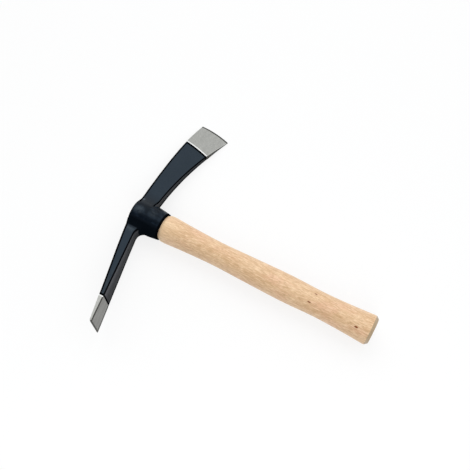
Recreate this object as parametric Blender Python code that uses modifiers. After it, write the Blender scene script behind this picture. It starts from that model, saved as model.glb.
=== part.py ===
# Mason's hammer with an axe arm and an adze arm on one round eye, and a short beech handle.
#
# The tool is modelled in its own axes: X runs down the handle from the top of the eye,
# +Y points along the axe arm, -Y along the adze arm, and Z is square to both.
# A root empty then lays it down as it rests on flat ground, rolled onto its heavier axe arm.
# All sizes are in metres.

import math

import bpy
import bmesh
from mathutils import Matrix, Vector

NAME = "bricklayers_hammer"

# Clearance left between two pieces that touch
FIT_GAP = 0.0003

# Whole tool
TOOL_LENGTH = 0.300

# Eye: a bore that widens towards its top, in a drum with a tapered collar under it
EYE_DEPTH = 0.0394
BORE_TOP_RADIUS = 0.0154
BORE_MOUTH_RADIUS = 0.0147
DRUM_DEPTH = 0.0260
DRUM_RIM_WALL = 0.0023
DRUM_SWELL = 0.0003
COLLAR_MOUTH_WALL = 0.0016
RIM_ROUNDING = 0.0014
LIP_ROUNDING = 0.0008
DRUM_RIM_RADIUS = BORE_TOP_RADIUS + DRUM_RIM_WALL
DRUM_BASE_RADIUS = DRUM_RIM_RADIUS + DRUM_SWELL
COLLAR_MOUTH_RADIUS = BORE_MOUTH_RADIUS + COLLAR_MOUTH_WALL

# Axe arm: its cutting edge is in line with the handle
AXE_ROOT_RISE = 0.0010
AXE_ROOT_DIP = 0.0014
AXE_ROOT_DIP_LENGTH = 0.0060
AXE_ROOT_WIDTH = 0.0204
AXE_REACH = 0.1414
AXE_EDGE_SKEW = 0.0064
AXE_HEEL_DROP = 0.0101
AXE_EDGE_WIDTH = 0.0388
AXE_EDGE_CROWN = 0.0017
AXE_GROUND_LENGTH = 0.0305
AXE_ROOT_THICKNESS = 0.0148
AXE_SHOULDER_THICKNESS = 0.0076
AXE_EDGE_THICKNESS = 0.0006
AXE_ROOT_FILLET = 0.0090
AXE_CORNER_FILLET = 0.0016

# Adze arm: its cutting edge is across the handle
ADZE_REACH = 0.1380
ADZE_ROOT_DROP = 0.0004
ADZE_EDGE_DROP = 0.0324
ADZE_ROOT_THICKNESS = 0.0138
ADZE_EDGE_THICKNESS = 0.0026
ADZE_ROOT_WIDTH = 0.0182
ADZE_EDGE_WIDTH = 0.0381
ADZE_BEVEL_LENGTH = 0.0020
ADZE_BEVEL_THICKNESS = 0.0014
ADZE_ROOT_FILLET = 0.0110
ADZE_SIDE_FILLET = 0.0055

# Ridges along the arms
RIDGE_ROUNDING = 0.0012
ROOT_RIDGE_ROUNDING = 0.0040
ROOT_RIDGE_LENGTH = 0.0120
GROUND_RIDGE_ROUNDING = 0.0002

# Handle: a shoulder below the eye, a waist, a swell, a hollow for the palm and a thick butt
SHOULDER_LENGTH = 0.0046
SHOULDER_STEP = 0.0018
WAIST_RADIUS = 0.0137
SWELL_RADIUS = 0.0154
HOLLOW_RADIUS = 0.0145
BUTT_RADIUS = 0.01715
BUTT_CHAMFER = 0.0028
BUTT_CHAMFER_LENGTH = 0.0034
TANG_RECESS = 0.0006
TANG_CHAMFER = 0.0008

# Wooden wedge in the saw kerf of the tang, and the steel wedges driven across it
WEDGE_DEPTH = 0.0260
WEDGE_TOP_THICKNESS = 0.0044
WEDGE_TIP_THICKNESS = 0.0012
WEDGE_RIM_MARGIN = 0.0006
KERF_RELIEF = 0.0030
STEEL_WEDGE_DEPTH = 0.0160
STEEL_WEDGE_WIDTH = 0.0085
STEEL_WEDGE_TOP_THICKNESS = 0.0026
STEEL_WEDGE_TIP_THICKNESS = 0.0006
STEEL_WEDGE_INSET = 0.0013

# Fineness of the round and lofted shapes
TURNED_STEPS = 48
ARM_FACE_DIVISIONS = 8
CORNER_DIVISIONS = 2
AXE_STATIONS = 18
ADZE_STATIONS = 18
GRIP_DIVISIONS = 36
SHARP_DEGREES = 32

# Colour, roughness and metallic value of each piece
FINISHES = {
    "head": ((0.042, 0.052, 0.064), 0.42, 0.0),
    "handle": ((0.71, 0.50, 0.30), 0.48, 0.0),
    "wooden_wedge": ((0.56, 0.38, 0.21), 0.60, 0.0),
    "steel_wedge": ((0.45, 0.45, 0.44), 0.38, 1.0),
}


def clear_scene():
    for old in list(bpy.data.objects):
        bpy.data.objects.remove(old, do_unlink=True)


def make_collection(name):
    collection = bpy.data.collections.new(name)
    bpy.context.scene.collection.children.link(collection)
    return collection


def make_material(name):
    colour, roughness, metallic = FINISHES[name]
    material = bpy.data.materials.new(name)
    material.use_nodes = True
    shader = material.node_tree.nodes["Principled BSDF"]
    shader.inputs["Base Color"].default_value = (*colour, 1.0)
    shader.inputs["Roughness"].default_value = roughness
    shader.inputs["Metallic"].default_value = metallic
    material.diffuse_color = (*colour, 1.0)
    return material


def add_object(name, mesh, collection, material=None):
    piece = bpy.data.objects.new(name, mesh)
    collection.objects.link(piece)
    if material is not None:
        mesh.materials.append(material)
    return piece


def mesh_from(builder, name):
    mesh = bpy.data.meshes.new(name)
    bmesh.ops.recalc_face_normals(builder, faces=builder.faces)
    builder.to_mesh(mesh)
    builder.free()
    return mesh


def hide_guide(guide):
    guide.hide_render = True
    guide.display_type = "WIRE"


def even_shading(piece):
    """Let the broad faces set the shading, so that flats stay flat beside round sides."""
    modifier = piece.modifiers.new("shading", "WEIGHTED_NORMAL")
    modifier.keep_sharp = True


def boolean(piece, cutter, operation):
    modifier = piece.modifiers.new(cutter.name, "BOOLEAN")
    modifier.object = cutter
    modifier.operation = operation
    modifier.solver = "EXACT"


def blend(start, end, share):
    return start + (end - start) * share


def bezier(points, share):
    """Point of a cubic curve through points[0] and points[3]."""
    rest = 1.0 - share
    weights = (rest ** 3, 3 * share * rest ** 2, 3 * share ** 2 * rest, share ** 3)
    return sum((point * weight for point, weight in zip(points, weights)), Vector((0, 0)))


def smooth_profile(stations, divisions):
    """Smooth curve through stations, as (position, radius) pairs at even steps."""
    points = [Vector(station) for station in stations]
    first = 2 * points[0] - points[1]
    last = 2 * points[-1] - points[-2]
    padded = [first, *points, last]
    curve = []
    for step in range(divisions + 1):
        position = blend(points[0].x, points[-1].x, step / divisions)
        span = max(i for i in range(len(points) - 1) if points[i].x <= position + 1e-9)
        before, low, high, after = padded[span:span + 4]
        share = (position - low.x) / (high.x - low.x)
        width = high.x - low.x
        low_slope = (high.y - before.y) / (high.x - before.x) * width
        high_slope = (after.y - low.y) / (after.x - low.x) * width
        radius = (
            (2 * share ** 3 - 3 * share ** 2 + 1) * low.y
            + (share ** 3 - 2 * share ** 2 + share) * low_slope
            + (3 * share ** 2 - 2 * share ** 3) * high.y
            + (share ** 3 - share ** 2) * high_slope
        )
        curve.append((position, radius))
    return curve


def quarter_round(centre, radius, start_degrees, end_degrees, divisions=3):
    """Points of an arc in the (position, radius) plane of a turned profile."""
    points = []
    for step in range(divisions + 1):
        angle = math.radians(blend(start_degrees, end_degrees, step / divisions))
        points.append((centre[0] + radius * math.cos(angle), centre[1] + radius * math.sin(angle)))
    return points


def turned(name, profile, collection, material=None):
    """Solid of revolution about X. The profile is (position along X, radius) pairs."""
    builder = bmesh.new()
    verts = [builder.verts.new((radius, 0.0, position)) for position, radius in profile]
    for low, high in zip(verts, verts[1:]):
        builder.edges.new((low, high))
    mesh = bpy.data.meshes.new(name)
    builder.to_mesh(mesh)
    builder.free()
    piece = add_object(name, mesh, collection, material)
    screw = piece.modifiers.new("turn", "SCREW")
    screw.axis = "Z"
    screw.steps = TURNED_STEPS
    screw.render_steps = TURNED_STEPS
    screw.use_merge_vertices = True
    screw.merge_threshold = 0.00001
    screw.use_smooth_shade = True
    piece.rotation_euler = (0.0, math.pi / 2, 0.0)
    return piece


def bore_radius(position):
    return blend(BORE_TOP_RADIUS, BORE_MOUTH_RADIUS, position / EYE_DEPTH)


def drum_radius(position):
    return blend(DRUM_RIM_RADIUS, DRUM_BASE_RADIUS, position / DRUM_DEPTH)


def rounded_ring(near, far, half_depth, corner, place):
    """Ring of a rounded rectangle.

    near and far are its limits across the arm's broad faces, half_depth is half its
    height, and place turns the pair (across, height) into a point in space.
    """
    corner = min(corner, 0.95 * half_depth, 0.45 * (far - near))
    flat = half_depth - corner
    ring = []
    for step in range(ARM_FACE_DIVISIONS + 1):
        across = blend(near + corner, far - corner, step / ARM_FACE_DIVISIONS)
        ring.append((across, half_depth))
    for step in range(1, CORNER_DIVISIONS + 1):
        angle = 0.5 * math.pi * step / CORNER_DIVISIONS
        ring.append((far - corner + corner * math.sin(angle), flat + corner * math.cos(angle)))
    ring.append((far, 0.0))
    upper_half = ring[:-1]
    ring += [(across, -height) for across, height in upper_half[::-1]]
    for step in range(1, CORNER_DIVISIONS + 1):
        angle = 0.5 * math.pi * step / CORNER_DIVISIONS
        ring.append((near + corner - corner * math.sin(angle), -flat - corner * math.cos(angle)))
    lower_near = ring[-CORNER_DIVISIONS:]
    ring.append((near, 0.0))
    ring += [(across, -height) for across, height in lower_near[::-1]]
    return [place(across, height) for across, height in ring]


def loft(name, rings, collection):
    """Closed skin over rings with equal numbers of points, capped at both ends."""
    builder = bmesh.new()
    rows = [[builder.verts.new(point) for point in ring] for ring in rings]
    count = len(rows[0])
    for low, high in zip(rows, rows[1:]):
        for i in range(count):
            j = (i + 1) % count
            builder.faces.new((low[i], low[j], high[j], high[i]))
    builder.faces.new(rows[0][::-1])
    builder.faces.new(rows[-1])
    mesh = mesh_from(builder, name)
    mesh.shade_smooth()
    mesh.set_sharp_from_angle(angle=math.radians(SHARP_DEGREES))
    return add_object(name, mesh, collection)


def stations_with_root(count, root_share):
    """Even shares from root_share to 1, with closer ones in front, where the root blends."""
    close = [root_share * (i / 6) ** 1.5 for i in range(6)]
    return close + [blend(root_share, 1.0, i / count) for i in range(count + 1)]


def fillet_rise(distance, radius):
    """Height of a concave quarter round of the given radius at a distance from the wall."""
    if distance >= radius:
        return 0.0
    return radius - math.sqrt(radius ** 2 - (radius - max(distance, 0.0)) ** 2)


def root_ridge(distance):
    """Rounding of an arm's ridges, which grows where the arm runs into the drum."""
    fade = max(0.0, 1.0 - distance / ROOT_RIDGE_LENGTH)
    return blend(RIDGE_ROUNDING, ROOT_RIDGE_ROUNDING, fade ** 2)


def wrap_onto_drum(distance, height):
    """How far a point at this height draws back so that the arm's root follows the drum."""
    reach = min(abs(height), 0.97 * DRUM_RIM_RADIUS)
    sag = DRUM_RIM_RADIUS - math.sqrt(DRUM_RIM_RADIUS ** 2 - reach ** 2)
    fade = max(0.0, 1.0 - distance / (2.0 * DRUM_RIM_RADIUS))
    return sag * fade ** 2


def core_ring(root):
    """Flat ring inside the bore, from which an arm starts behind its root ring."""
    side = math.copysign(0.3 * BORE_MOUTH_RADIUS, root[0].y)
    return [Vector((point.x, side, 0.6 * point.z)) for point in root]


def axe_guides():
    """Upper and lower outlines of the axe arm in the plane of the handle, as (x, y)."""
    root_y = DRUM_RIM_RADIUS
    heel = Vector((AXE_HEEL_DROP, AXE_REACH))
    toe = Vector((AXE_HEEL_DROP + AXE_EDGE_WIDTH, AXE_REACH - AXE_EDGE_SKEW))
    upper_root = Vector((-AXE_ROOT_RISE, root_y))
    lower_root = Vector((AXE_ROOT_WIDTH - AXE_ROOT_RISE, root_y))
    heel_run = heel.y - root_y
    toe_run = toe.y - root_y
    flare = AXE_EDGE_WIDTH - AXE_ROOT_WIDTH
    upper = (
        upper_root,
        upper_root + Vector((0.11 * heel.x, heel_run / 3)),
        heel - Vector((0.96 * heel.x, heel_run / 3)),
        heel,
    )
    lower = (
        lower_root,
        lower_root + Vector((0.09 * flare, toe_run / 3)),
        toe - Vector((0.96 * flare, toe_run / 3)),
        toe,
    )
    return upper, lower


def axe_rings():
    upper, lower = axe_guides()
    run = AXE_REACH - DRUM_RIM_RADIUS
    ground_share = 1.0 - AXE_GROUND_LENGTH / run
    root_share = 2.0 * AXE_ROOT_FILLET / run
    shares = [share * ground_share for share in stations_with_root(AXE_STATIONS, root_share)]
    shares += [blend(ground_share, 1.0, i / 6) for i in range(1, 7)]
    rings = [axe_ring(upper, lower, share, ground_share) for share in shares]
    return [core_ring(rings[0]), *rings]


def axe_ring(upper, lower, share, ground_share):
    high = bezier(upper, share)
    low = bezier(lower, share)
    distance = share * (AXE_REACH - DRUM_RIM_RADIUS)
    dip = max(0.0, 1.0 - distance / AXE_ROOT_DIP_LENGTH)
    high.x += AXE_ROOT_DIP * dip ** 2
    low.x += fillet_rise(distance, AXE_CORNER_FILLET)
    if share <= ground_share:
        thickness = blend(AXE_ROOT_THICKNESS, AXE_SHOULDER_THICKNESS, share / ground_share)
        ridge = root_ridge(distance)
        crown = 0.0
    else:
        ground = (share - ground_share) / (1.0 - ground_share)
        thickness = blend(AXE_SHOULDER_THICKNESS, AXE_EDGE_THICKNESS, ground)
        ridge = GROUND_RIDGE_ROUNDING
        crown = AXE_EDGE_CROWN * ground
    half = 0.5 * thickness + fillet_rise(distance, AXE_ROOT_FILLET)
    width = (low - high).length

    def place(across, height):
        part = across / width
        point = high.lerp(low, part)
        bulge = crown * 4.0 * part * (1.0 - part)
        back = wrap_onto_drum(distance, height)
        return Vector((point.x, point.y + bulge - back, height))

    return rounded_ring(0.0, width, half, ridge, place)


def adze_rings():
    run = ADZE_REACH - DRUM_RIM_RADIUS
    root_share = 1.2 * ADZE_ROOT_FILLET / run
    bevel_share = 1.0 - ADZE_BEVEL_LENGTH / run
    shares = [share * bevel_share for share in stations_with_root(ADZE_STATIONS, root_share)]
    rings = [adze_ring(share, bevel_share) for share in shares]
    rings.append(adze_ring(1.0, bevel_share))
    return [core_ring(rings[0]), *rings]


def adze_ring(share, bevel_share):
    distance = share * (ADZE_REACH - DRUM_RIM_RADIUS)
    top = blend(ADZE_ROOT_DROP, ADZE_EDGE_DROP, share)
    thickness = blend(ADZE_ROOT_THICKNESS, ADZE_EDGE_THICKNESS, share)
    under = top + thickness + fillet_rise(distance, ADZE_ROOT_FILLET)
    ridge = root_ridge(distance)
    if share > bevel_share:
        top = under - ADZE_BEVEL_THICKNESS
        ridge = GROUND_RIDGE_ROUNDING
    half_width = 0.5 * blend(ADZE_ROOT_WIDTH, ADZE_EDGE_WIDTH, share)
    half_width += fillet_rise(distance, ADZE_SIDE_FILLET)
    centre = 0.5 * (top + under)

    def place(across, height):
        back = wrap_onto_drum(distance, across)
        return Vector((centre - height, -DRUM_RIM_RADIUS - distance + back, across))

    return rounded_ring(-half_width, half_width, 0.5 * (under - top), ridge, place)


def drum_profile():
    """Outer side of the drum and its tapered collar, from the mouth up to the rim."""
    mouth = quarter_round(
        (EYE_DEPTH - LIP_ROUNDING, COLLAR_MOUTH_RADIUS - LIP_ROUNDING), LIP_ROUNDING, 0, 82
    )
    rim = quarter_round(
        (RIM_ROUNDING, DRUM_RIM_RADIUS - RIM_ROUNDING), RIM_ROUNDING, 90, 180
    )
    return [
        (EYE_DEPTH, 0.0),
        *mouth,
        (DRUM_DEPTH, DRUM_BASE_RADIUS),
        (0.55 * DRUM_DEPTH, drum_radius(0.55 * DRUM_DEPTH)),
        *rim,
        (0.0, 0.0),
    ]


def build_head(parts, guides, material):
    head = turned("head", drum_profile(), parts, material)
    axe_arm = loft("axe_arm_form", axe_rings(), guides)
    adze_arm = loft("adze_arm_form", adze_rings(), guides)
    bore_top = bore_radius(-EYE_DEPTH)
    bore_end = bore_radius(2.0 * EYE_DEPTH)
    bore = turned(
        "bore_form",
        [(2.0 * EYE_DEPTH, 0.0), (2.0 * EYE_DEPTH, bore_end), (-EYE_DEPTH, bore_top), (-EYE_DEPTH, 0.0)],
        guides,
    )
    boolean(head, axe_arm, "UNION")
    boolean(head, adze_arm, "UNION")
    boolean(head, bore, "DIFFERENCE")
    for guide in (axe_arm, adze_arm, bore):
        hide_guide(guide)
    return head, (axe_arm, adze_arm, bore)


def grip_stations(shoulder_radius):
    """Shares of the grip's length, each with the handle's radius there."""
    return (
        (0.000, shoulder_radius),
        (0.020, shoulder_radius),
        (0.075, blend(shoulder_radius, WAIST_RADIUS, 0.36)),
        (0.160, blend(shoulder_radius, WAIST_RADIUS, 0.74)),
        (0.265, WAIST_RADIUS),
        (0.415, blend(WAIST_RADIUS, SWELL_RADIUS, 0.50)),
        (0.600, SWELL_RADIUS),
        (0.760, HOLLOW_RADIUS),
        (0.880, blend(HOLLOW_RADIUS, BUTT_RADIUS, 0.33)),
        (1.000, BUTT_RADIUS),
    )


def handle_profile():
    """From the butt end up to the top of the tang."""
    grip_start = EYE_DEPTH + SHOULDER_LENGTH
    grip_end = TOOL_LENGTH - BUTT_CHAMFER_LENGTH
    grip_length = grip_end - grip_start
    shoulder_foot = (EYE_DEPTH + FIT_GAP, BORE_MOUTH_RADIUS - FIT_GAP)
    shoulder_radius = shoulder_foot[1] + SHOULDER_STEP
    shoulder_middle = (
        blend(shoulder_foot[0], grip_start, 0.45),
        shoulder_foot[1] + 0.72 * SHOULDER_STEP,
    )
    grip = [
        (grip_start + share * grip_length, radius)
        for share, radius in smooth_profile(grip_stations(shoulder_radius), GRIP_DIVISIONS)
    ]
    tang_end = TANG_RECESS + TANG_CHAMFER
    return [
        (TOOL_LENGTH, 0.0),
        (TOOL_LENGTH, BUTT_RADIUS - BUTT_CHAMFER),
        *grip[::-1],
        shoulder_middle,
        shoulder_foot,
        (tang_end, bore_radius(tang_end) - FIT_GAP),
        (TANG_RECESS, bore_radius(tang_end) - FIT_GAP - TANG_CHAMFER),
        (TANG_RECESS, 0.0),
    ]


def wedge_solid(name, collection, depth, width, tip_width, thicknesses, grow=0.0, over=0.0, material=None):
    """Wedge with its broad sides facing +-Z, driven down X from the top of the tang.

    grow widens its broad sides, which makes the slot for it. over carries it up past
    the top of the tang.
    """
    builder = bmesh.new()
    bmesh.ops.create_cube(builder, size=1.0)
    top_thickness, tip_thickness = thicknesses
    slope = (top_thickness - tip_thickness) / depth
    for vert in builder.verts:
        at_tip = vert.co.x > 0.0
        position = depth + grow if at_tip else -over
        thickness = top_thickness - slope * position + 2.0 * grow
        span = (tip_width if at_tip else width) + 2.0 * grow
        side = math.copysign(0.5 * span, vert.co.y)
        vert.co = Vector((TANG_RECESS + position, side, math.copysign(0.5 * thickness, vert.co.z)))
    return add_object(name, mesh_from(builder, name), collection, material)


def build_handle(parts, guides, material):
    handle = turned("handle", handle_profile(), parts, material)
    kerf = wedge_solid(
        "kerf_form",
        guides,
        WEDGE_DEPTH + KERF_RELIEF,
        4.0 * BORE_TOP_RADIUS,
        4.0 * BORE_TOP_RADIUS,
        (WEDGE_TOP_THICKNESS, WEDGE_TIP_THICKNESS),
        grow=FIT_GAP,
        over=EYE_DEPTH * 0.1,
    )
    boolean(handle, kerf, "DIFFERENCE")
    hide_guide(kerf)
    return handle, [kerf]


def build_wooden_wedge(parts, material):
    top_width = 2.0 * (bore_radius(0.0) - FIT_GAP - WEDGE_RIM_MARGIN)
    tip_width = 2.0 * (bore_radius(WEDGE_DEPTH) - FIT_GAP - WEDGE_RIM_MARGIN)
    return wedge_solid(
        "wooden_wedge",
        parts,
        WEDGE_DEPTH,
        top_width,
        tip_width,
        (WEDGE_TOP_THICKNESS, WEDGE_TIP_THICKNESS),
        material=material,
    )


def build_steel_wedges(parts, guides, handle, material):
    """One steel wedge in each half of the tang, square to the wooden one, with its slot."""
    made = []
    slots = []
    middle = 0.5 * WEDGE_TOP_THICKNESS + STEEL_WEDGE_INSET + 0.5 * STEEL_WEDGE_WIDTH
    for name, side in (("steel_wedge_upper", 1.0), ("steel_wedge_lower", -1.0)):
        turn = Matrix.Rotation(math.pi / 2, 4, "X")
        seat = Matrix.Translation((0.0, 0.0, side * middle))
        wedge = wedge_solid(
            name,
            parts,
            STEEL_WEDGE_DEPTH,
            STEEL_WEDGE_WIDTH,
            STEEL_WEDGE_WIDTH,
            (STEEL_WEDGE_TOP_THICKNESS, STEEL_WEDGE_TIP_THICKNESS),
            material=material,
        )
        slot = wedge_solid(
            name + "_slot_form",
            guides,
            STEEL_WEDGE_DEPTH,
            STEEL_WEDGE_WIDTH,
            STEEL_WEDGE_WIDTH,
            (STEEL_WEDGE_TOP_THICKNESS, STEEL_WEDGE_TIP_THICKNESS),
            grow=FIT_GAP,
            over=EYE_DEPTH * 0.1,
        )
        for piece in (wedge, slot):
            piece.data.transform(seat @ turn)
        boolean(handle, slot, "DIFFERENCE")
        hide_guide(slot)
        made.append(wedge)
        slots.append(slot)
    return made, slots


def resting_roll():
    """Roll about the handle that brings the axe's edge down to the level of the drum."""
    edge_half = 0.5 * AXE_EDGE_THICKNESS
    return math.asin(DRUM_BASE_RADIUS / math.hypot(AXE_REACH, edge_half)) - math.atan2(edge_half, AXE_REACH)


def world_bounds(pieces):
    depsgraph = bpy.context.evaluated_depsgraph_get()
    depsgraph.update()
    corners = []
    for piece in pieces:
        evaluated = piece.evaluated_get(depsgraph)
        mesh = evaluated.to_mesh()
        corners += [evaluated.matrix_world @ vert.co for vert in mesh.vertices]
        evaluated.to_mesh_clear()
    low = Vector([min(corner[axis] for corner in corners) for axis in range(3)])
    high = Vector([max(corner[axis] for corner in corners) for axis in range(3)])
    return low, high


def lay_down(root, pieces):
    """Roll the tool to rest and put the origin under the middle of its box."""
    root.rotation_euler = (-resting_roll(), 0.0, 0.0)
    bpy.context.view_layer.update()
    low, high = world_bounds(pieces)
    middle = 0.5 * (low + high)
    root.location = (-middle.x, -middle.y, -low.z)
    bpy.context.view_layer.update()


def main():
    clear_scene()
    parts = make_collection(NAME)
    guides = make_collection(NAME + "_guides")
    materials = {name: make_material(name) for name in FINISHES}

    root = bpy.data.objects.new(NAME, None)
    root.empty_display_size = 0.05
    parts.objects.link(root)

    head, head_guides = build_head(parts, guides, materials["head"])
    handle, handle_guides = build_handle(parts, guides, materials["handle"])
    wooden_wedge = build_wooden_wedge(parts, materials["wooden_wedge"])
    steel_wedges, slot_guides = build_steel_wedges(parts, guides, handle, materials["steel_wedge"])

    pieces = [head, handle, wooden_wedge, *steel_wedges]
    for piece in (*pieces, *head_guides, *handle_guides, *slot_guides):
        piece.parent = root
    for piece in (head, handle):
        even_shading(piece)
    lay_down(root, pieces)


main()
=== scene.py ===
# Looks of a mason's hammer with an axe arm and an adze arm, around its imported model.
#
# The pieces are shaped in the tool's own axes, in metres: X runs down the handle from the top
# of the eye, +Y points along the axe arm and -Y along the adze arm. Each finished mesh is then
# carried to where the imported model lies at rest.

import math

import bpy
import bmesh
from mathutils import Matrix, Vector, noise


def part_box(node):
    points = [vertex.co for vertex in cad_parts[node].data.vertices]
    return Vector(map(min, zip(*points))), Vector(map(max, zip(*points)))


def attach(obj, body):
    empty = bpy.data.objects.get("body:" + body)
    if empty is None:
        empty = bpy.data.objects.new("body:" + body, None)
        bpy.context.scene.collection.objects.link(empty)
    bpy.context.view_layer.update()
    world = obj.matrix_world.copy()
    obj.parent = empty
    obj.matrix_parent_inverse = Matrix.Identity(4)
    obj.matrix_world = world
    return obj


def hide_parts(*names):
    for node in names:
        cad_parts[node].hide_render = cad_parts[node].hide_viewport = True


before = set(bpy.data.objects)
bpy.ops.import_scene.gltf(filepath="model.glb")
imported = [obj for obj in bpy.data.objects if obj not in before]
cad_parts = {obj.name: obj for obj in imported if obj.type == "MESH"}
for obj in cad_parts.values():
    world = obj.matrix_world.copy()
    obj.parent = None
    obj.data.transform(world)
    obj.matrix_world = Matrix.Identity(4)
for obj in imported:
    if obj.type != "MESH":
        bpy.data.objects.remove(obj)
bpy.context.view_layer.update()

MM = 0.001

# Clearance between two pieces that touch
FIT_GAP = 0.3 * MM

# Whole tool
TOOL_LENGTH = 300 * MM

# Eye: a bore that widens towards its top, in a drum with a tapered collar under it
EYE_DEPTH = 39.4 * MM
BORE_TOP_RADIUS = 15.4 * MM
BORE_MOUTH_RADIUS = 14.7 * MM
DRUM_DEPTH = 26.0 * MM
DRUM_RIM_RADIUS = 17.7 * MM
DRUM_BASE_RADIUS = 18.0 * MM
COLLAR_MOUTH_RADIUS = 16.3 * MM
RIM_ROUNDING = 1.4 * MM
LIP_ROUNDING = 0.8 * MM
LIP_ARC_DEGREES = 84
COLLAR_BLEND = 0.12 * MM

# Axe arm, with its cutting edge in line with the handle
AXE_ROOT_RISE = 0.94 * MM
AXE_ROOT_DIP = 1.4 * MM
AXE_ROOT_DIP_LENGTH = 6.0 * MM
AXE_ROOT_WIDTH = 20.4 * MM
AXE_REACH = 141.4 * MM
AXE_EDGE_SKEW = 6.4 * MM
AXE_HEEL_DROP = 10.1 * MM
AXE_EDGE_WIDTH = 38.8 * MM
AXE_EDGE_CROWN = 1.68 * MM
AXE_GROUND_LENGTH = 29.6 * MM
AXE_ROOT_THICKNESS = 14.8 * MM
AXE_SHOULDER_THICKNESS = 7.6 * MM
AXE_EDGE_THICKNESS = 0.6 * MM
AXE_ROOT_FILLET = 9.0 * MM
AXE_CORNER_FILLET = 1.6 * MM

# Bend of the axe's two outlines: the shares of the drop or the flare that the curve's inner
# points have, the one near the root measured from the root and the other one from the edge
AXE_UPPER_BEND = (0.07, 0.98)
AXE_LOWER_BEND = (0.11, 0.94)

# Adze arm, with its cutting edge across the handle
ADZE_REACH = 138.0 * MM
ADZE_ROOT_DROP = 0.1 * MM
ADZE_EDGE_DROP = 32.1 * MM
ADZE_ROOT_THICKNESS = 14.1 * MM
ADZE_EDGE_THICKNESS = 2.9 * MM
ADZE_ROOT_WIDTH = 18.2 * MM
ADZE_EDGE_WIDTH = 38.1 * MM
ADZE_GROUND_LENGTH = 30.8 * MM
ADZE_BEVEL_LENGTH = 2.0 * MM
ADZE_BEVEL_THICKNESS = 1.4 * MM
ADZE_ROOT_FILLET = 11.0 * MM
ADZE_SIDE_FILLET = 5.5 * MM

# Ridges along the arms. A ridge is never rounder than these shares of half the arm's thickness
# and of its width.
RIDGE_ROUNDING = 1.2 * MM
ROOT_RIDGE_ROUNDING = 4.0 * MM
ROOT_RIDGE_LENGTH = 12.0 * MM
GROUND_RIDGE_ROUNDING = 0.25 * MM
LARGEST_THICKNESS_SHARE = 0.8
LARGEST_WIDTH_SHARE = 0.45

# Wrap of the arms' roots onto the drum, and where the arms start inside the bore: shares of the
# bore's radius and of the root's height
WRAP_LIMIT = 0.97 * DRUM_RIM_RADIUS
WRAP_LENGTH = 2.0 * DRUM_RIM_RADIUS
CORE_PLACE = 0.3
CORE_HEIGHT = 0.6

# Step where grinding has cut below the paint, and how askew and crowned it is on the axe
GRINDING_STEP = 0.10 * MM
GRINDING_STEP_LENGTH = 1.4 * MM
AXE_GROUND_SKEW = 3.2 * MM
AXE_GROUND_CROWN = 0.7 * MM

# Strips with a colour of their own, mostly painted shade and highlight: dark lines along the
# ridges, before the grinding and at the cutting edge, and lit or shaded steel beside the ridges. A
# strip along a ridge is never wider than this share of the side it lies on.
OUTER_STRIPS = (2.2 * MM, 2.2 * MM)
INNER_RIDGE_STRIP = 0.8 * MM
ADZE_RIDGE_STRIP = 1.1 * MM
INNER_SIDE_STRIP = 1.6 * MM
# The lower inner strip is wider: more painted shade along the lower ridge
LOWER_SIDE_STRIP = 4.2 * MM
LARGEST_STRIP_SHARE = 0.34
PAINT_RIM = 2.4 * MM
LIP_STRIP = 1.9 * MM
CUTTING_STRIP = 1.6 * MM

# Length of the adze's root that is matt black painted shade, like the drum's flanks beside it
SHADED_ADZE_ROOT = 2.8 * MM

# Handle
SHOULDER_LENGTH = 4.6 * MM
SHOULDER_STEP = 1.8 * MM
SHOULDER_EXPONENT = 0.9
WAIST_RADIUS = 13.7 * MM
SWELL_RADIUS = 15.4 * MM
HOLLOW_RADIUS = 14.5 * MM
BUTT_RADIUS = 17.15 * MM
BUTT_CHAMFER = 2.8 * MM
BUTT_CHAMFER_LENGTH = 3.4 * MM
BUTT_EDGE_ROUNDING = 1.1 * MM
TANG_RECESS = 0.6 * MM
TANG_CHAMFER = 0.8 * MM

# Wedges in the top of the tang, and the kerf and slots that are cut for them. Thicknesses are
# those at the top and at the tip.
WEDGE_DEPTH = 26.0 * MM
WEDGE_THICKNESSES = (4.4 * MM, 1.2 * MM)
WEDGE_RIM_MARGIN = 0.6 * MM
KERF_DEPTH = WEDGE_DEPTH + 3.0 * MM
KERF_WIDTH = 4.0 * BORE_TOP_RADIUS
CUTTER_EXCESS = 0.1 * EYE_DEPTH
STEEL_WEDGE_DEPTH = 16.0 * MM
STEEL_WEDGE_WIDTH = 8.5 * MM
STEEL_WEDGE_THICKNESSES = (2.6 * MM, 0.6 * MM)
STEEL_WEDGE_INSET = 1.3 * MM
WEDGE_EDGE_ROUNDING = 0.15 * MM

# Material slots of the head
PAINT, EYE_PAINT, SHADED_INNER_PAINT, SHADED_FLANK_PAINT, SHADE_LINE_PAINT = range(5)
GROUND_STEEL, LIT_SIDE_STEEL, SHADED_INNER_STEEL, SHADED_NARROW_STEEL, SHADE_LINE_STEEL, HIGHLIGHT_LINE = range(5, 11)

# Slots of one side of an arm: of the side, and of the strips before and after the ridge at its end
PAINTED_SIDE = (PAINT, SHADE_LINE_PAINT, SHADE_LINE_PAINT)
PAINTED_INNER_SIDE = (SHADED_INNER_PAINT, SHADE_LINE_PAINT, SHADE_LINE_PAINT)
LINE_SIDE = (HIGHLIGHT_LINE, HIGHLIGHT_LINE, HIGHLIGHT_LINE)
GROUND_SIDE = (GROUND_STEEL, GROUND_STEEL, GROUND_STEEL)

# Drum's flanks in matt black painted shade: how far its normals lean towards the adze and towards
# the axe there
ADZE_FLANK_SLOPE = 0.45
AXE_FLANK_SLOPE = 0.85

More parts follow.
